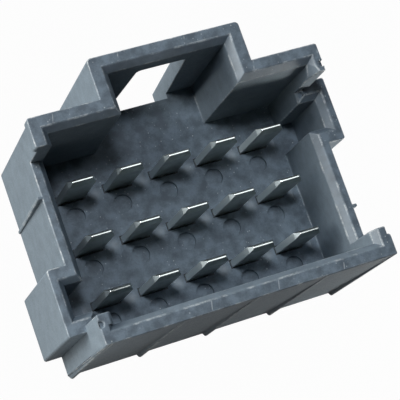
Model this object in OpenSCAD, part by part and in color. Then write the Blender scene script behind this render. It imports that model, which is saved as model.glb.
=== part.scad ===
// Fifteen-way male tab connector: a moulded shroud with a latch bridge, two keyways and flat blade tabs.
// Millimetres. X runs along the rows of tabs, Y toward the latch, Z toward the open mouth.
// The origin is the centre of the tab field on the flat back face.

/* [Tab field] */
// Number of tabs in a row
columns = 5; // [3:1:8]
// Number of rows of tabs
rows = 3; // [3:1:5]
// Distance between neighbouring tabs in a row
column_pitch = 5; // [4.6:0.1:7]
// Distance between neighbouring rows
row_pitch = 5.5; // [5:0.1:7]

/* [Tabs] */
// Width of a tab blade
tab_w = 2.8; // [1.6:0.1:3.2]
// Thickness of a tab blade
tab_t = 0.7; // [0.5:0.05:1]
// Height of a blade above the shroud floor
tab_h = 6.8; // [4:0.1:8]
// Height of the tapered tip of a blade
tip_h = 0.8; // [0.4:0.1:1.5]
// How far each corner of the tip is cut back along the width
tip_cut_w = 0.38; // [0.1:0.02:0.6]
// How far each face of the tip is coined back along the thickness
tip_cut_t = 0.25; // [0.05:0.01:0.3]
// How far the stop shoulder stands out on each side of a blade
shoulder_out = 0.4; // [0.2:0.05:0.6]
// Height of the stop shoulder
shoulder_h = 1.2; // [0.6:0.1:2]
// Width of the solder tail
tail_w = 1.2; // [0.8:0.1:1.5]
// Length of the solder tail behind the back face
tail_l = 3.2; // [2:0.1:5]
// Play between a tab and its slot, on each side
slot_play = 0.02; // [0.01:0.01:0.1]

/* [Shroud] */
// Distance from the outer tabs' axes to the inner faces of the side walls
side_margin = 3.3; // [2.8:0.1:5]
// Distance from the outer rows' axes to the inner faces of the long walls
row_margin = 3.75; // [3:0.05:5]
// Thickness of the two long walls
long_wall = 1.7; // [1.4:0.1:2.5]
// Thickness of the two side walls
side_wall = 1.4; // [1.2:0.05:2]
// How far two opposite ends of the long walls run past the side walls
end_out = 0.3; // [0.1:0.05:0.5]
// Length of those ends, from the outer face of the long wall
end_l = 2.1; // [1.2:0.05:2.3]
// Depth of the end on the latch side, which is only a lip along the rim of its corner post
end_lip_d = 1.5; // [0.8:0.1:4]
// How far the long wall away from the latch leans in at the back face
draft_in = 0.2; // [0.05:0.05:0.4]
// Thickness of the floor that carries the tabs
floor_t = 5.3; // [4:0.1:8]
// Height of the full rim above the floor
rim_h = 13.3; // [11:0.1:16]
// Height of the cut-down side walls above the floor
low_rim_h = 8.2; // [7:0.1:9]
// Length of the full-height posts at the corners, from the outer face of the long wall
post_l = 2.9; // [2.4:0.1:4]
// Radius of the upright outer corners
corner_r = 0.25; // [0.1:0.05:0.5]
// Width of the lead-in chamfer along the rims
lead_w = 0.58; // [0.3:0.02:0.8]
// Depth of the lead-in chamfer along the rims
lead_d = 0.8; // [0.4:0.05:1.2]
// Width of the guide ramp at the free end of the corner post beside the latch-side keyway
ramp_w = 0.75; // [0.6:0.05:0.9]
// Depth of that guide ramp at the post's free end
ramp_d = 1.6; // [1:0.1:2]
// Width and depth of the small lead-in on the corner post beside the other keyway
post_lead = 0.3; // [0.1:0.05:0.5]
// Radius of the round nick in each keyed corner post
nick_r = 0.3; // [0.1:0.05:0.4]
// Depth of that nick
nick_d = 0.4; // [0.2:0.1:1]
// Distance of that nick's middle from the outer face of its post
nick_in = 0.15; // [0:0.05:0.25]

/* [Latch] */
// Outer width of the latch bump
bump_w = 15.6; // [12:0.1:18]
// How far the bump stands out from the long wall
bump_out = 4.05; // [3.2:0.05:6]
// Thickness of the bump's outer wall
bump_wall = 1.65; // [1.2:0.05:2]
// Thickness of the bump's two side walls
bump_side_wall = 1.8; // [1.2:0.05:2]
// Radius of the bump's upright outer corners
bump_r = 0.4; // [0.1:0.05:0.6]
// Depth of the bridge that the latch hooks under
bridge_d = 2.7; // [2.4:0.1:4.5]
// Width of the latch window at the bridge
window_front_w = 5; // [4.4:0.1:7]
// Width of the latch window at the back face
window_back_w = 7; // [5:0.1:9]
// Radius of the window's corners at the bridge
window_r = 0.5; // [0.3:0.1:1.5]
// How far the window reaches into the floor past the bump's outer wall
window_floor_cut = 0.55; // [0.3:0.05:1.5]

/* [Keyways] */
// Width of a keyway
key_w = 3; // [2:0.1:4]
// Depth of a keyway past the side wall's inner face
key_d = 1.85; // [1.6:0.05:3]
// Distance of a keyway's middle from the middle row
key_y = 5.35; // [4.8:0.05:5.6]
// Thickness of a keyway's outer wall
key_wall = 1.35; // [1.1:0.05:1.8]
// Thickness of a keyway's wall on the side of the connector's middle
key_inner_wall = 1.75; // [1.2:0.05:2.2]
// Thickness of a keyway's wall on the side of the corner
key_outer_wall = 1.85; // [1.2:0.05:2.2]
// Diameter of the ejector mark on a keyway's rim
rim_mark_d = 0.6; // [0.3:0.1:0.9]
// Depth of that ejector mark
rim_mark_h = 0.5; // [0.2:0.1:0.7]
// Distance of that ejector mark from the corner post
rim_mark_gap = 0.1; // [0.05:0.05:0.3]

/* [Ribs and marks] */
// Number of crush ribs on the long wall away from the latch
crush_ribs = 5; // [3:1:7]
// Distance between neighbouring crush ribs
rib_pitch = 7.3; // [3:0.1:7.3]
// Distance of the first crush rib's middle from the end of the long wall
rib_inset = 0.7; // [0.6:0.1:2]
// Width of a rib at its foot
rib_w = 0.7; // [0.5:0.05:1.2]
// Width of the crest of a crush rib
rib_crest_w = 0.3; // [0.1:0.05:0.4]
// How far the crush ribs stand out at the back face
rib_out = 0.35; // [0.2:0.05:0.5]
// How far the ribs on the side walls stand out at the low rim
side_rib_out = 0.45; // [0.2:0.05:0.6]
// How far the ribs on the side walls stand out at the back face
side_rib_back_out = 0.15; // [0.05:0.05:0.4]
// Distance of the side ribs from the middle row
side_rib_y = 4.6; // [3.5:0.1:6]
// Diameter of the round recess beside each tab
mark_d = 1.9; // [1:0.1:2.4]
// Depth of the round recess beside each tab
mark_h = 0.35; // [0.1:0.05:0.8]
// Distance of the recess from its tab's axis
mark_y = 1.95; // [1.6:0.05:2.2]

/* [Hidden] */
$fn = 48;
// How far a cut runs past the face that it opens
over = 1;
// How far the tail of a tab reaches into its blade
tail_root = 0.1;
plastic = [0.33, 0.37, 0.41];
tin = [0.74, 0.75, 0.74];

field_x = (columns - 1) * column_pitch / 2;
field_y = (rows - 1) * row_pitch / 2;
cavity_x = field_x + side_margin;
cavity_y = field_y + row_margin;
outer_x = cavity_x + side_wall;
outer_y = cavity_y + long_wall;
rim_z = floor_t + rim_h;
low_z = floor_t + low_rim_h;
post_y = outer_y - post_l;
bump_y = outer_y + bump_out;
bump_in_x = bump_w / 2 - bump_side_wall;
bump_in_y = bump_y - bump_wall;
bridge_z = rim_z - bridge_d;
key_in_x = cavity_x + key_d;
key_out_x = key_in_x + key_wall;
key_lo_y = key_y - key_w / 2;
key_hi_y = key_y + key_w / 2;
tab_tip_z = floor_t + tab_h;
slot_w = tab_w + 2 * slot_play;
slot_t = tab_t + 2 * slot_play;
end_x = outer_x + end_out;
end_y = outer_y - end_l;

function tab_x(c) = (c - 1) * column_pitch - field_x;
function tab_y(r) = field_y - (r - 1) * row_pitch;
function tab_name(r, c) = str("tab_r", r, "c", c);

// A block between two corners
module block(low, high) {
    translate(low) cube(high - low);
}

// A flat rectangle with round corners, between two corners
module round_rect(low, high, r) {
    size = high - low;
    translate(low + [r, 0]) square([size.x - 2 * r, size.y]);
    translate(low + [0, r]) square([size.x, size.y - 2 * r]);
    for (x = [low.x + r, high.x - r], y = [low.y + r, high.y - r]) translate([x, y]) circle(r);
}

// The shape and its copy after a half turn about Z
module half_turn() {
    children();
    rotate([0, 0, 180]) children();
}

// A profile drawn in X and Z, carried along Y from y0 to y1
module along_y(y0, y1) {
    translate([0, y1, 0]) rotate([90, 0, 0]) linear_extrude(y1 - y0) children();
}

// A profile drawn in Y and Z, carried along X from x0 to x1
module along_x(x0, x1) {
    translate([x0, 0, 0]) rotate([90, 0, 90]) linear_extrude(x1 - x0) children();
}

// The profile of an opening from a to b that widens to its rim at height z
module flare(a, b, z) {
    out = lead_w * (lead_d + over) / lead_d;
    polygon([[a, z - lead_d], [b, z - lead_d], [b + out, z + over], [a - out, z + over]]);
}

// The lead-in of an opening with its rim at height z
module lead_in(low, high, z) {
    far = 4 * outer_x;
    intersection() {
        along_y(-far, far) flare(low.x, high.x, z);
        along_x(-far, far) flare(low.y, high.y, z);
    }
}

// The outside of the shroud: the box with its latch bump, the longer wall ends and the keyway pockets
module shroud_outside() {
    linear_extrude(rim_z) {
        round_rect([-outer_x, -outer_y], [outer_x, outer_y], corner_r);
        round_rect([-bump_w / 2, 0], [bump_w / 2, bump_y], bump_r);
    }
    linear_extrude(rim_z) round_rect([0, -outer_y], [end_x, -end_y], corner_r);
    translate([0, 0, rim_z - end_lip_d]) linear_extrude(end_lip_d)
        round_rect([-end_x, post_y], [0, outer_y], corner_r);
    half_turn() linear_extrude(low_z)
        round_rect([0, key_lo_y - key_inner_wall], [key_out_x, key_hi_y + key_outer_wall], corner_r);
}

// The hollow that takes the mating plug, with a lead-in along every rim but that of one square post
module mating_hollow() {
    block([-cavity_x, -cavity_y, floor_t], [cavity_x, cavity_y, rim_z + over]);
    difference() {
        lead_in([-cavity_x, -cavity_y], [cavity_x, cavity_y], rim_z);
        block([-2 * outer_x, -cavity_y, 0], [-cavity_x, 0, rim_z + 2 * over]);
    }
    block([-bump_in_x, 0, floor_t], [bump_in_x, bump_in_y, rim_z + over]);
    lead_in([-bump_in_x, 0], [bump_in_x, bump_in_y], rim_z);
    half_turn() {
        block([0, key_lo_y, floor_t], [key_in_x, key_hi_y, rim_z + over]);
        lead_in([0, key_lo_y], [key_in_x, key_hi_y], low_z);
    }
}

// The guide ramp on one keyed post: it sinks from the rim's lead-in toward the post's free end
module guide_ramp() {
    sink = atan((ramp_d - lead_d) / (cavity_y - post_y));
    intersection() {
        translate([cavity_x, post_y, rim_z - ramp_d]) rotate([sink, 0, 0]) along_y(-over, post_l)
            polygon([[0, 0], [2 * ramp_w / cos(sink), 2 * ramp_d], [0, 2 * ramp_d]]);
        block([0, 0, 0], [2 * outer_x, cavity_y, rim_z + over]);
    }
}

// The small lead-in on the inner face of the other keyed post
module post_lead_in() {
    out = post_lead + over;
    along_y(-cavity_y, over - post_y) polygon([[-cavity_x, rim_z - post_lead],
        [-cavity_x - out, rim_z + over], [-cavity_x, rim_z + over]]);
}

// The side walls cut down between the corner posts
module side_cuts() {
    block([-2 * outer_x, -post_y, low_z], [2 * outer_x, post_y, rim_z + over]);
    intersection() {
        lead_in([-cavity_x, -2 * outer_y], [cavity_x, 2 * outer_y], low_z);
        block([-2 * outer_x, -post_y, 0], [2 * outer_x, post_y, low_z + over]);
    }
}

// The tapered window that lets the latch hook under the bridge, open at the back
module latch_window() {
    slope = (window_back_w - window_front_w) / 2 / bridge_z;
    tilt = atan(slope);
    arc_z = bridge_z - window_r;
    arc_x = window_back_w / 2 - slope * arc_z - window_r / cos(tilt);
    side_x = arc_x + window_r * cos(tilt);
    side_z = arc_z + window_r * sin(tilt);
    below = window_back_w / 2 + slope * over;
    along_y(bump_in_y - window_floor_cut, bump_y + over) {
        polygon([[-below, -over], [below, -over], [side_x, side_z], [arc_x, bridge_z],
            [-arc_x, bridge_z], [-side_x, side_z]]);
        for (x = [-arc_x, arc_x]) translate([x, arc_z]) circle(window_r);
    }
}

// The lean of the long wall away from the latch, cut from the square outside
module back_draft() {
    clear = 2 * rib_out + end_l;
    along_x(-2 * end_x, 2 * end_x) polygon([[-outer_y, rim_z], [-outer_y + draft_in, 0],
        [-outer_y + draft_in, -over], [-outer_y - clear, -over], [-outer_y - clear, rim_z]]);
}

// One crush rib on the leaning wall, rising from nothing at the rim to its full height at the back
module crush_rib() {
    foot = rib_w / 2;
    crest = rib_crest_w / 2;
    intersection() {
        translate([0, -outer_y + draft_in, 0]) linear_extrude(rim_z)
            polygon([[-foot, long_wall / 2], [-foot, 0], [-crest, -rib_out], [crest, -rib_out],
                [foot, 0], [foot, long_wall / 2]]);
        along_x(-rib_w, rib_w) polygon([[-outer_y + long_wall / 2, 0], [-outer_y + draft_in - rib_out, 0],
            [-outer_y, rim_z], [-outer_y + long_wall / 2, rim_z]]);
    }
}

// Ribs that hold the connector in its panel: a row of crush ribs below and one rib on each side
module ribs() {
    sunk = side_wall / 2;
    intersection() {
        for (i = [0:crush_ribs - 1])
            translate([-end_x + rib_inset + i * rib_pitch, 0, 0]) crush_rib();
        block([-end_x, -2 * outer_y, 0], [end_x, 0, rim_z]);
    }
    half_turn() along_y(-side_rib_y - rib_w / 4, -side_rib_y + rib_w / 4)
        polygon([[outer_x - sunk, 0], [outer_x + side_rib_back_out, 0],
            [outer_x + side_rib_out, low_z], [outer_x - sunk, low_z]]);
}

// The slot, stop recess and round floor recess of one tab
module tab_seat() {
    recess_w = slot_w + 2 * shoulder_out;
    block([-slot_w / 2, -slot_t / 2, -over], [slot_w / 2, slot_t / 2, floor_t + over]);
    block([-recess_w / 2, -slot_t / 2, -over], [recess_w / 2, slot_t / 2, shoulder_h]);
    translate([0, -mark_y, floor_t - mark_h]) cylinder(d = mark_d, h = mark_h + over);
}

// Small moulding marks: nicks in the keyed posts and ejector marks on the keyway rims
module moulding_marks() {
    for (at = [[outer_x - nick_in, end_y], [-outer_x + nick_in, -end_y - nick_in]])
        translate([at.x, at.y, rim_z - nick_d]) cylinder(r = nick_r, h = nick_d + over);
    rim_mark_y = post_y - rim_mark_gap - rim_mark_d / 2;
    half_turn() translate([cavity_x + rim_mark_d / 2, rim_mark_y, low_z - rim_mark_h])
        cylinder(d = rim_mark_d, h = rim_mark_h + over);
}

module housing() {
    color(plastic) difference() {
        union() {
            difference() {
                shroud_outside();
                back_draft();
            }
            ribs();
        }
        mating_hollow();
        guide_ramp();
        post_lead_in();
        side_cuts();
        latch_window();
        moulding_marks();
        for (r = [1:rows], c = [1:columns]) translate([tab_x(c), tab_y(r), 0]) tab_seat();
    }
}

// One stamped blade: tapered tip, stop shoulder in the floor's recess, and solder tail
module tab(r, c) {
    neck_z = tab_tip_z - tip_h;
    tip_x = tab_w / 2 - tip_cut_w;
    tip_y = tab_t / 2 - tip_cut_t;
    shoulder_x = tab_w / 2 + shoulder_out;
    color(tin) translate([tab_x(c), tab_y(r), 0]) {
        intersection() {
            along_y(-tab_t, tab_t) polygon([[-tab_w / 2, 0], [tab_w / 2, 0], [tab_w / 2, neck_z],
                [tip_x, tab_tip_z], [-tip_x, tab_tip_z], [-tab_w / 2, neck_z]]);
            along_x(-tab_w, tab_w) polygon([[-tab_t / 2, 0], [tab_t / 2, 0], [tab_t / 2, neck_z],
                [tip_y, tab_tip_z], [-tip_y, tab_tip_z], [-tab_t / 2, neck_z]]);
        }
        block([-shoulder_x, -tab_t / 2, 0], [shoulder_x, tab_t / 2, shoulder_h]);
        block([-tail_w / 2, -tab_t / 2, -tail_l], [tail_w / 2, tab_t / 2, tail_root]);
    }
}

housing();
for (r = [1:rows], c = [1:columns])
    tab(r, c);
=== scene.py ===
"""Looks of a fifteen-way male tab connector: moulded slate plastic, tinned blades, soft studio light."""
import math

import bpy
from mathutils import Matrix, Vector


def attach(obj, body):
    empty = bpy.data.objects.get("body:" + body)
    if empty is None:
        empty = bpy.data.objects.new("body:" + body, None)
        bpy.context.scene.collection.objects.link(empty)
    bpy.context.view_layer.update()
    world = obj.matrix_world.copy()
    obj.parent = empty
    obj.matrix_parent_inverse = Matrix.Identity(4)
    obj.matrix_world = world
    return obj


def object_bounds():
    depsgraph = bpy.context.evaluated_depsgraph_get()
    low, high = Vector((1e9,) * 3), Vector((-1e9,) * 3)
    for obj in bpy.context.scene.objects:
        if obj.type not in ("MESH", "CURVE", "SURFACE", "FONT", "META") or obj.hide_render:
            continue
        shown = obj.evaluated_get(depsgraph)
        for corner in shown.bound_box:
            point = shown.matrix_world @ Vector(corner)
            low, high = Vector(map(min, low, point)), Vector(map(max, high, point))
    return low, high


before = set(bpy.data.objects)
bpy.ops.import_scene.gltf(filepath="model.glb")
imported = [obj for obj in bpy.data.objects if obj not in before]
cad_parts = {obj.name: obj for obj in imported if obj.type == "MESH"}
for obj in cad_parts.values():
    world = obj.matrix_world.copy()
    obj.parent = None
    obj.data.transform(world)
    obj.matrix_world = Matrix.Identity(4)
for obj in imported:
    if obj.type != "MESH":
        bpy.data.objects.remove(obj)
cad_low, cad_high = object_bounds()

MM = 0.001


def middle(name):
    """The middle of a CAD node's box."""
    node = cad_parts[name]
    corners = [node.matrix_world @ Vector(corner) for corner in node.bound_box]
    return sum(corners, Vector()) / len(corners)


# Camera: a long lens that looks down into the mouth from the near left
CAMERA_PLACE = Vector((-49.25, -25.43, 154.21)) * MM
CAMERA_TARGET = Vector((2.77, 1.70, 5.3)) * MM
CAMERA_ROLL = math.radians(19.6)
LENS_MM = 142.5
SENSOR_MM = 36.0
CLIP_START = 0.01

# Light: how far the lamps stand from the middle of the part; two small ones are close to the front wall
LAMP_REACH = 0.35
RIB_REACH = 0.047
CORNER_REACH = 0.032
ROOM_LEVEL = 0.0
WHITE = (1, 1, 1)
COOL = (0.95, 1.0, 1.08)
WARM = (1.06, 1.0, 0.92)

# Colours, linear
PLASTIC_DARK = (0.080, 0.107, 0.134)
PLASTIC_LIGHT = (0.148, 0.196, 0.240)
# Pale marks: specks, scratches and rubbed wear, also a painted edge highlight and painted reflected light
# beside the blades
PLASTIC_PALE = (0.42, 0.46, 0.48)
# Black: painted shade in the gap round each blade's foot
PAINTED_GAP_SHADE = (0.010, 0.013, 0.016)
TIN_DARK = (0.56, 0.59, 0.54)
TIN_LIGHT = (0.68, 0.71, 0.66)
TIN_SHEARED = (0.55, 0.63, 0.66)
PAPER = (0.16, 0.16, 0.16)

# Paper: half its side, and how white it is to the camera and in reflections
FLOOR_HALF = 0.6
CAMERA_WHITE = 0.975
GLOSS_WHITE = 0.1

# Levels of the moulding, and how far from them a mark may lie
RIM_Z = cad_high.z
FLOOR_Z = 5.3 * MM
RIM_SKIN = 0.05 * MM
FLOOR_SKIN = 0.02 * MM

# Rounding of edges: its width, which edges are sharp, and what it stays clear of
EDGE_ROUND = 0.12 * MM
TAB_ROUND = 0.05 * MM
ROUND_STEPS = 2
SHARP_ANGLE = math.radians(25)
FLAT_ANGLE = math.radians(1)
WELD_GAP = 0.001 * MM
RIM_DIMPLE = Vector((13.6, 7.65, 13.5)) * MM
DIMPLE_CLEAR = 0.6 * MM
FLOOR_CLEAR = 0.5 * MM

# Plastic: clouds and grain, how they set the tone, and how much a face must look up to count as level
CLOUD_SIZE, CLOUD_DETAIL = 1.1 * MM, 5
CLOUD_MIDDLE = 0.65
CLOUDS_ON_WALLS, CLOUDS_ON_LEVEL = 0.45, 1.45
GRAIN_SIZE, GRAIN_DETAIL = 0.16 * MM, 2
GRAIN_SHARE = 0.3
GRAIN_BUMP, GRAIN_HEIGHT = 0.35, 0.03 * MM
TONE_LOW, TONE_HIGH = 0.29, 0.71
PLASTIC_ROUGHNESS = dict(low=0.3, high=0.7, to_low=0.44, to_high=0.60)
WALL_FACING, LEVEL_FACING = 0.5, 0.9

# Masks from noise: its size and detail, the values between which it rises, and the strengths there
SCRATCH_BREAKS = dict(size=0.45 * MM, detail=2, low=0.40, high=0.62, to_low=0, to_high=0.65)
SPECK_GROUPS = dict(size=2.1 * MM, detail=1, low=0.42, high=0.60, to_low=0, to_high=0.8)
# Rubbed edges: wear, and partly a painted edge highlight
LONG_RUBS_AND_HIGHLIGHTS = dict(size=1.3 * MM, detail=2, low=0.45, high=0.62, to_low=0.08, to_high=0.70)
SHORT_RUBS_AND_HIGHLIGHTS = dict(size=0.22 * MM, detail=2, low=0.38, high=0.62, to_low=0.35, to_high=1)
BLADE_POLISH = dict(size=0.25 * MM, detail=3, low=0.3, high=0.7, to_low=0.29, to_high=0.34)

# Pale specks: how far apart, how large as a share of that, and how strong on walls
SPECK_SPACING = 0.5 * MM
SPECK_CORE, SPECK_EDGE = 0.08, 0.17
SPECKS_ON_WALLS = 0.15

# Fine scratches across the rim: their spacing, the start of their row, their lean and their half width
SCRATCH_SPACING, SCRATCH_START = 6.8 * MM, 5.2 * MM
SCRATCH_LEAN = 0.25
SCRATCH_HALF, SCRATCH_EASE = 0.02 * MM, 0.06 * MM

# The field of blades, to which the marks on the floor around their feet keep: painted shade in the gap round
# each foot and painted reflected light beside it
COLUMNS, ROWS = 5, 3
COLUMN_PITCH = (middle("tab_r2c4") - middle("tab_r2c3")).x
ROW_PITCH = (middle("tab_r1c3") - middle("tab_r2c3")).y
FIELD_X, FIELD_Y = COLUMNS * COLUMN_PITCH / 2, ROWS * ROW_PITCH / 2
FIELD_EASE = 0.01 * MM
FOOT_X, FOOT_Y = 1.4 * MM, 0.35 * MM
# Painted shade: a dark band round each foot stands in for the shade in its gap
FOOT_SHADE_BAND, FOOT_EASE = 0.09 * MM, 0.05 * MM
# Painted reflected light: a pale patch left of each foot, where light thrown off the blade falls
PAINTED_GLEAM_X, PAINTED_GLEAM_Y = -2.3 * MM, -0.3 * MM
PAINTED_GLEAM_START, PAINTED_GLEAM_END = 0.2 * MM, 1.25 * MM
PAINTED_GLEAM_GRAIN, PAINTED_GLEAM_DETAIL = 0.5 * MM, 3
PAINTED_GLEAM_SWING = 0.6 * MM
PAINTED_GLEAM_STRENGTH = 0.36

# Tin: how its streaks are drawn out, where a face counts as sheared or as the tip, and how rough those are
STREAK_DRAW = (1, 1, 0.12)
TIN_DETAIL = 3
TIN_TONE_LOW, TIN_TONE_HIGH = 0.35, 0.65
SHEARED_LOW, SHEARED_HIGH = 0.4, 0.8
TIP_LOW, TIP_HIGH = 0.6, 0.95
SHEARED_ROUGHER, TIP_SMOOTHER = 0.35, 0.20
TIN_BUMP, TIN_HEIGHT = 0.03, 0.02 * MM

# Thin mould flash in two corners between floor and wall: its leg, its waves, and where the corners run
FLASH_LEG = 0.11 * MM
FLASH_SWING = 0.15
FLASH_WAVES = (37, 11)
FLASH_STEPS = 60
RIGHT_WALL_X, RIGHT_WALL_Y = 13.3 * MM, (-9.25 * MM, 3.85 * MM)
LATCH_WALL_X, LATCH_WALL_Y = 6.0 * MM, (9.25 * MM, 12.8 * MM)


def link(obj):
    """Puts a new object into the scene."""
    bpy.context.scene.collection.objects.link(obj)
    return obj


def new_material(name):
    """An empty node material with its output node."""
    material = bpy.data.materials.new(name)
    material.use_nodes = True
    tree = material.node_tree
    tree.nodes.clear()
    output = tree.nodes.new("ShaderNodeOutputMaterial")
    return material, tree, output


def noise(tree, spot, size, detail):
    """Noise with features of about the given size, in metres."""
    node = tree.nodes.new("ShaderNodeTexNoise")
    node.inputs["Scale"].default_value = 1 / size
    node.inputs["Detail"].default_value = detail
    tree.links.new(spot, node.inputs["Vector"])
    return node.outputs[0]


def ramp(tree, value, low, high, low_colour, high_colour):
    """Colours between two points of a value."""
    node = tree.nodes.new("ShaderNodeValToRGB")
    first, last = node.color_ramp.elements
    first.position, last.position = low, high
    first.color, last.color = (*low_colour, 1), (*high_colour, 1)
    tree.links.new(value, node.inputs["Fac"])
    return node.outputs["Color"]


def stretch(tree, value, low, high, to_low, to_high):
    """A value carried from one range to another, eased and held at the ends."""
    node = tree.nodes.new("ShaderNodeMapRange")
    node.interpolation_type = "SMOOTHSTEP"
    for slot, number in (("From Min", low), ("From Max", high), ("To Min", to_low), ("To Max", to_high)):
        node.inputs[slot].default_value = number
    tree.links.new(value, node.inputs["Value"])
    return node.outputs["Result"]


def patches(tree, spot, size, detail, low, high, to_low, to_high):
    """A mask that rises between two values of a noise."""
    return stretch(tree, noise(tree, spot, size, detail), low, high, to_low, to_high)


def combine(tree, operation, first, second=None, third=None):
    """Arithmetic on values, of which some may be plain numbers."""
    node = tree.nodes.new("ShaderNodeMath")
    node.operation = operation
    for slot, value in zip(node.inputs, (first, second, third)):
        if isinstance(value, (int, float)):
            slot.default_value = value
        elif value is not None:
            tree.links.new(value, slot)
    return node.outputs["Value"]


def product(tree, first, second):
    """Two values multiplied, which for masks is where both hold."""
    return combine(tree, "MULTIPLY", first, second)


def wrapped(tree, value, pitch):
    """How far a value lies from the nearest whole number of pitches."""
    return combine(tree, "WRAP", value, pitch / 2, -pitch / 2)


def within(tree, value, reach, ease):
    """One where a value lies nearer to zero than the reach, zero past it."""
    return stretch(tree, combine(tree, "ABSOLUTE", value), reach, reach + ease, 1, 0)


def blend(tree, factor, first, second):
    """One colour laid over another; each may be a plain colour."""
    node = tree.nodes.new("ShaderNodeMix")
    node.data_type = "RGBA"
    tree.links.new(factor, node.inputs[0])
    for slot, colour in ((node.inputs[6], first), (node.inputs[7], second)):
        if isinstance(colour, tuple):
            slot.default_value = (*colour, 1)
        else:
            tree.links.new(colour, slot)
    return node.outputs[2]


def bump(tree, height, strength, distance):
    """A surface normal roughened by a height."""
    node = tree.nodes.new("ShaderNodeBump")
    node.inputs["Strength"].default_value = strength
    node.inputs["Distance"].default_value = distance
    tree.links.new(height, node.inputs["Height"])
    return node.outputs["Normal"]


def axes(tree, spot):
    """The three parts of a place."""
    parts = tree.nodes.new("ShaderNodeSeparateXYZ")
    tree.links.new(spot, parts.inputs["Vector"])
    return [parts.outputs[axis] for axis in "XYZ"]


def facing(tree, axis):
    """How squarely a face looks along an axis, either way."""
    parts = axes(tree, tree.nodes.new("ShaderNodeNewGeometry").outputs["Normal"])
    return combine(tree, "ABSOLUTE", parts["XYZ".index(axis)])


def by_level(tree, on_walls, on_level):
    """One value on walls, another on level faces."""
    return stretch(tree, facing(tree, "Z"), WALL_FACING, LEVEL_FACING, on_walls, on_level)


def rim_scratches(tree, spot):
    """Where pale scratches cross the rim: one in each spacing, broken by noise."""
    x, y, z = axes(tree, spot)
    leaning = combine(tree, "MULTIPLY_ADD", y, -SCRATCH_LEAN, x)
    aside = wrapped(tree, combine(tree, "SUBTRACT", leaning, SCRATCH_START), SCRATCH_SPACING)
    on_rim = within(tree, combine(tree, "SUBTRACT", z, RIM_Z), RIM_SKIN, RIM_SKIN)
    marks = product(tree, within(tree, aside, SCRATCH_HALF, SCRATCH_EASE), on_rim)
    return product(tree, marks, patches(tree, spot, **SCRATCH_BREAKS))


def stray_specks(tree, spot):
    """Where small pale specks lie in loose groups, and scratches on the rim."""
    cells = tree.nodes.new("ShaderNodeTexVoronoi")
    cells.inputs["Scale"].default_value = 1 / SPECK_SPACING
    tree.links.new(spot, cells.inputs["Vector"])
    specks = stretch(tree, cells.outputs["Distance"], SPECK_CORE, SPECK_EDGE, 1, 0)
    settled = product(tree, patches(tree, spot, **SPECK_GROUPS), by_level(tree, SPECKS_ON_WALLS, 1))
    return combine(tree, "MAXIMUM", product(tree, specks, settled), rim_scratches(tree, spot))


def rubbed_and_highlight_stretches(tree, spot):
    """Where an edge is pale in broken stretches: rubbed wear, and partly a painted edge highlight."""
    return product(tree, patches(tree, spot, **LONG_RUBS_AND_HIGHLIGHTS), patches(tree, spot, **SHORT_RUBS_AND_HIGHLIGHTS))


def foot_marks(tree, spot):
    """Two masks on the floor: painted shade in the gap around each blade's foot, and a painted pale patch of
    reflected light on its left.
    """
    x, y, z = axes(tree, spot)
    across, along = wrapped(tree, x, COLUMN_PITCH), wrapped(tree, y, ROW_PITCH)
    field = product(tree, within(tree, x, FIELD_X, FIELD_EASE), within(tree, y, FIELD_Y, FIELD_EASE))
    on_floor = within(tree, combine(tree, "SUBTRACT", z, FLOOR_Z), FLOOR_SKIN, FLOOR_SKIN)
    field = product(tree, field, on_floor)
    # Painted shade in the gap round each foot
    gap = product(tree, within(tree, across, FOOT_X + FOOT_SHADE_BAND, FOOT_EASE),
                  within(tree, along, FOOT_Y + FOOT_SHADE_BAND, FOOT_EASE))
    # Painted reflected light: a ragged pale patch left of each foot
    left = wrapped(tree, combine(tree, "SUBTRACT", x, PAINTED_GLEAM_X), COLUMN_PITCH)
    front = combine(tree, "SUBTRACT", along, PAINTED_GLEAM_Y)
    squares = combine(tree, "MULTIPLY_ADD", left, left, product(tree, front, front))
    away = combine(tree, "SQRT", squares)
    grain = noise(tree, spot, PAINTED_GLEAM_GRAIN, PAINTED_GLEAM_DETAIL)
    ragged = combine(tree, "MULTIPLY_ADD", grain, PAINTED_GLEAM_SWING, away)
    painted_gleam = stretch(tree, ragged, PAINTED_GLEAM_START, PAINTED_GLEAM_END, PAINTED_GLEAM_STRENGTH, 0)
    return product(tree, gap, field), product(tree, painted_gleam, field)


def plastic_material(name, paling):
    """Matte moulded plastic with flow clouds and a fine grain, pale where the paling function says, with
    painted shade in the gap round each blade's foot and painted reflected light beside it.
    """
    material, tree, output = new_material(name)
    new, join = tree.nodes.new, tree.links.new
    spot = new("ShaderNodeTexCoord").outputs["Object"]
    clouds = noise(tree, spot, CLOUD_SIZE, CLOUD_DETAIL)
    grain = noise(tree, spot, GRAIN_SIZE, GRAIN_DETAIL)
    uneven = combine(tree, "SUBTRACT", clouds, CLOUD_MIDDLE)
    swing = combine(tree, "MULTIPLY_ADD", grain, GRAIN_SHARE, uneven)
    strength = by_level(tree, CLOUDS_ON_WALLS, CLOUDS_ON_LEVEL)
    cloudy = combine(tree, "MULTIPLY_ADD", swing, strength, (TONE_LOW + TONE_HIGH) / 2)
    tone = ramp(tree, cloudy, TONE_LOW, TONE_HIGH, PLASTIC_DARK, PLASTIC_LIGHT)
    shader = new("ShaderNodeBsdfPrincipled")
    # Painted shade in the foot gaps, and painted reflected light mixed with the pale marks
    gap, painted_gleam = foot_marks(tree, spot)
    pale_marks_and_painted_gleam = combine(tree, "MAXIMUM", paling(tree, spot), painted_gleam)
    marked = blend(tree, gap, blend(tree, pale_marks_and_painted_gleam, tone, PLASTIC_PALE), PAINTED_GAP_SHADE)
    join(marked, shader.inputs["Base Color"])
    join(stretch(tree, grain, **PLASTIC_ROUGHNESS), shader.inputs["Roughness"])
    join(bump(tree, grain, GRAIN_BUMP, GRAIN_HEIGHT), shader.inputs["Normal"])
    join(shader.outputs["BSDF"], output.inputs["Surface"])
    return material


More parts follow.
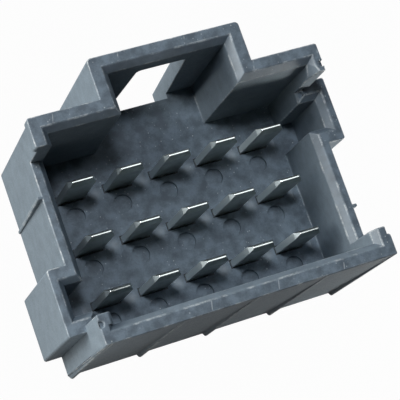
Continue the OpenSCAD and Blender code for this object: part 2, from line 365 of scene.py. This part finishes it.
def tin_material():
    """Tinned sheet metal, streaked along the blade, dull on sheared edges and smooth on the tip."""
    material, tree, output = new_material("tinned_blade")
    new, join = tree.nodes.new, tree.links.new
    spot = new("ShaderNodeTexCoord").outputs["Object"]
    drawn = new("ShaderNodeMapping")
    drawn.inputs["Scale"].default_value = STREAK_DRAW
    join(spot, drawn.inputs["Vector"])
    polish = patches(tree, drawn.outputs["Vector"], **BLADE_POLISH)
    clouds = noise(tree, spot, CLOUD_SIZE, TIN_DETAIL)
    shader = new("ShaderNodeBsdfPrincipled")
    shader.inputs["Metallic"].default_value = 1
    sheared = stretch(tree, facing(tree, "X"), SHEARED_LOW, SHEARED_HIGH, 0, 1)
    tone = ramp(tree, clouds, TIN_TONE_LOW, TIN_TONE_HIGH, TIN_DARK, TIN_LIGHT)
    join(blend(tree, sheared, tone, TIN_SHEARED), shader.inputs["Base Color"])
    tip = stretch(tree, facing(tree, "Z"), TIP_LOW, TIP_HIGH, 0, 1)
    dulled = combine(tree, "MULTIPLY_ADD", sheared, SHEARED_ROUGHER, polish)
    join(combine(tree, "MULTIPLY_ADD", tip, -TIP_SMOOTHER, dulled), shader.inputs["Roughness"])
    join(bump(tree, clouds, TIN_BUMP, TIN_HEIGHT), shader.inputs["Normal"])
    join(shader.outputs["BSDF"], output.inputs["Surface"])
    return material


def paper_material():
    """White studio paper: white to the camera, with the part's shadow kept on it."""
    material, tree, output = new_material("white_paper")
    new, join = tree.nodes.new, tree.links.new
    paper = new("ShaderNodeBsdfDiffuse")
    paper.inputs["Color"].default_value = (*PAPER, 1)
    white = new("ShaderNodeEmission")
    white.inputs["Strength"].default_value = 1
    path = new("ShaderNodeLightPath").outputs
    seen = product(tree, path["Is Camera Ray"], CAMERA_WHITE)
    through = combine(tree, "MULTIPLY_ADD", path["Is Transmission Ray"], CAMERA_WHITE, seen)
    mirrored = combine(tree, "MULTIPLY_ADD", path["Is Glossy Ray"], GLOSS_WHITE, through)
    mix = new("ShaderNodeMixShader")
    join(mirrored, mix.inputs["Fac"])
    join(paper.outputs[0], mix.inputs[1])
    join(white.outputs[0], mix.inputs[2])
    join(mix.outputs[0], output.inputs["Surface"])
    return material


def studio_floor():
    """The sheet of paper that the part stands on."""
    mesh = bpy.data.meshes.new("studio_floor")
    z = cad_low.z
    corners = [(-FLOOR_HALF, -FLOOR_HALF, z), (FLOOR_HALF, -FLOOR_HALF, z),
               (FLOOR_HALF, FLOOR_HALF, z), (-FLOOR_HALF, FLOOR_HALF, z)]
    mesh.from_pydata(corners, [], [(0, 1, 2, 3)])
    floor = link(bpy.data.objects.new("studio_floor", mesh))
    floor.data.materials.append(paper_material())


def soft_box(name, turn, rise, width, height, level, colour=WHITE, reach=LAMP_REACH):
    """A soft box that faces the part; turn and rise, in degrees, say where it stands."""
    lamp = bpy.data.lights.new(name, "AREA")
    lamp.shape = "RECTANGLE"
    lamp.size, lamp.size_y = width, height
    lamp.energy = level * (math.pi * reach) ** 2
    lamp.color = colour
    obj = link(bpy.data.objects.new(name, lamp))
    round_z, up = math.radians(turn), math.radians(rise)
    toward = Vector((math.cos(up) * math.cos(round_z), math.cos(up) * math.sin(round_z), math.sin(up)))
    obj.location = (cad_low + cad_high) / 2 + toward * reach
    obj.rotation_euler = toward.to_track_quat("Z", "Y").to_euler()


def studio_light():
    """Soft boxes from the latch side and the left, weak ones for the front wall and the tips, a dark room."""
    soft_box("key", 141, 74, 0.05, 0.05, 0.34, COOL)
    soft_box("upper_fill", 145, 48, 0.14, 0.14, 0.26)
    soft_box("side_key", 140, 30, 0.20, 0.20, 0.26)
    soft_box("low_key", 140, 6, 0.26, 0.10, 0.80, WARM)
    soft_box("left_key", 169, 8, 0.20, 0.10, 0.75, WARM)
    soft_box("front_fill", 290, 10, 0.20, 0.10, 0.04, WARM)
    soft_box("corner_light", 222, 14, 0.008, 0.008, 0.080, WARM, CORNER_REACH)
    soft_box("rib_light", 335, -4, 0.016, 0.008, 1.00, WARM, RIB_REACH)
    soft_box("tip_light", 30, 68, 0.080, 0.080, 0.034, COOL)
    world = bpy.data.worlds.new("room")
    world.use_nodes = True
    room = world.node_tree.nodes["Background"].inputs
    room["Color"].default_value = (*WHITE, 1)
    room["Strength"].default_value = ROOM_LEVEL
    bpy.context.scene.world = world


def camera():
    """The camera at the viewing angle of the photograph."""
    data = bpy.data.cameras.new("camera")
    data.lens = LENS_MM
    data.sensor_width = SENSOR_MM
    data.clip_start = CLIP_START
    obj = link(bpy.data.objects.new("camera", data))
    forward = (CAMERA_TARGET - CAMERA_PLACE).normalized()
    side = forward.cross(Vector((0, 1, 0))).normalized()
    up = side.cross(forward)
    turned = Matrix.Rotation(CAMERA_ROLL, 3, forward) @ Matrix((side, up, -forward)).transposed()
    obj.matrix_world = Matrix.Translation(CAMERA_PLACE) @ turned.to_4x4()
    bpy.context.scene.camera = obj


def compare(group, operation, value, limit):
    """A condition on a value, such as being greater than a limit."""
    node = group.nodes.new("FunctionNodeCompare")
    node.operation = operation
    node.inputs["B"].default_value = limit
    group.links.new(value, node.inputs["A"])
    return node


def conditions(group, operation, first, second):
    """Two conditions taken together."""
    node = group.nodes.new("FunctionNodeBooleanMath")
    node.operation = operation
    group.links.new(first.outputs[0], node.inputs[0])
    group.links.new(second.outputs[0], node.inputs[1])
    return node


def rim_dimple_gap(group, place):
    """How far a place lies from the nearer rim dimple, or from its mirror images."""
    folded = group.nodes.new("ShaderNodeVectorMath")
    folded.operation = "ABSOLUTE"
    group.links.new(place, folded.inputs[0])
    gap = group.nodes.new("ShaderNodeVectorMath")
    gap.operation = "DISTANCE"
    gap.inputs[1].default_value = RIM_DIMPLE
    group.links.new(folded.outputs["Vector"], gap.inputs[0])
    return gap.outputs["Value"]


def rounding_weights():
    """Modifier nodes that mark the edges to round: convex ones, but none in the floor or by a rim dimple."""
    group = bpy.data.node_groups.new("rounding_weights", "GeometryNodeTree")
    group.interface.new_socket("Geometry", in_out="INPUT", socket_type="NodeSocketGeometry")
    group.interface.new_socket("Geometry", in_out="OUTPUT", socket_type="NodeSocketGeometry")
    new, join = group.nodes.new, group.links.new
    angle = new("GeometryNodeInputMeshEdgeAngle").outputs["Signed Angle"]
    place = new("GeometryNodeInputPosition").outputs["Position"]
    convex = compare(group, "GREATER_THAN", angle, SHARP_ANGLE)
    away = compare(group, "GREATER_THAN", rim_dimple_gap(group, place), DIMPLE_CLEAR)
    in_floor = compare(group, "EQUAL", axes(group, place)[2], FLOOR_Z)
    in_floor.inputs["Epsilon"].default_value = FLOOR_CLEAR
    clear = conditions(group, "NIMPLY", away, in_floor)
    rounded = conditions(group, "AND", convex, clear)
    store = new("GeometryNodeStoreNamedAttribute")
    store.data_type = "FLOAT"
    store.domain = "EDGE"
    store.inputs["Name"].default_value = "bevel_weight_edge"
    join(new("NodeGroupInput").outputs["Geometry"], store.inputs["Geometry"])
    join(rounded.outputs["Boolean"], store.inputs["Value"])
    join(store.outputs["Geometry"], new("NodeGroupOutput").inputs["Geometry"])
    return group


def soften(obj, width, weights):
    """Small round edges, as a mould or a press leaves them."""
    weld = obj.modifiers.new("weld", "WELD")
    weld.merge_threshold = WELD_GAP
    flat = obj.modifiers.new("flat", "DECIMATE")
    flat.decimate_type = "DISSOLVE"
    flat.angle_limit = FLAT_ANGLE
    marked = obj.modifiers.new("marked", "NODES")
    marked.node_group = weights
    bevel = obj.modifiers.new("round", "BEVEL")
    bevel.limit_method = "WEIGHT"
    bevel.width = width
    bevel.segments = ROUND_STEPS
    bevel.use_clamp_overlap = False
    bevel.harden_normals = True
    # The rounded faces take the last material; on the housing that is the pale worn plastic, partly a painted
    # edge highlight
    bevel.material = len(obj.data.materials) - 1


def flash_line(name, x, span, material):
    """A thin uneven web of flash in the corner where the floor meets a wall that faces -X."""
    corners, faces = [], []
    for step in range(FLASH_STEPS + 1):
        along = step / FLASH_STEPS
        y = span[0] + (span[1] - span[0]) * along
        wave = math.prod(math.sin(turns * along) for turns in FLASH_WAVES)
        leg = FLASH_LEG * (1 - FLASH_SWING + FLASH_SWING * wave)
        corners += [(x + FLASH_LEG, y, FLOOR_Z - FLASH_LEG), (x - leg, y, FLOOR_Z - FLASH_LEG),
                    (x - leg, y, FLOOR_Z), (x, y, FLOOR_Z + leg), (x + FLASH_LEG, y, FLOOR_Z + leg)]
    ring = len(corners) // (FLASH_STEPS + 1)
    for step in range(FLASH_STEPS):
        for side in range(ring):
            after = (side + 1) % ring
            faces.append((step * ring + side, step * ring + after,
                          (step + 1) * ring + after, (step + 1) * ring + side))
    faces += [tuple(reversed(range(ring))), tuple(range(FLASH_STEPS * ring, len(corners)))]
    mesh = bpy.data.meshes.new(name)
    mesh.from_pydata(corners, [], faces)
    line = link(bpy.data.objects.new(name, mesh))
    line.data.materials.append(material)
    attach(line, "root")


bpy.context.scene.view_settings.view_transform = "Standard"
plastic = plastic_material("slate_plastic", stray_specks)
# Pale worn plastic for rounded edges and flash: rubbed wear, partly a painted edge highlight
worn_and_highlight = plastic_material("worn_and_highlight_plastic", rubbed_and_highlight_stretches)
tin = tin_material()
weights = rounding_weights()
for name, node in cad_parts.items():
    node.data.materials.clear()
    for material in (plastic, worn_and_highlight) if name == "housing" else (tin,):
        node.data.materials.append(material)
    soften(node, EDGE_ROUND if name == "housing" else TAB_ROUND, weights)
flash_line("floor_flash_right", RIGHT_WALL_X, RIGHT_WALL_Y, worn_and_highlight)
flash_line("floor_flash_latch", LATCH_WALL_X, LATCH_WALL_Y, worn_and_highlight)
studio_floor()
studio_light()
camera()
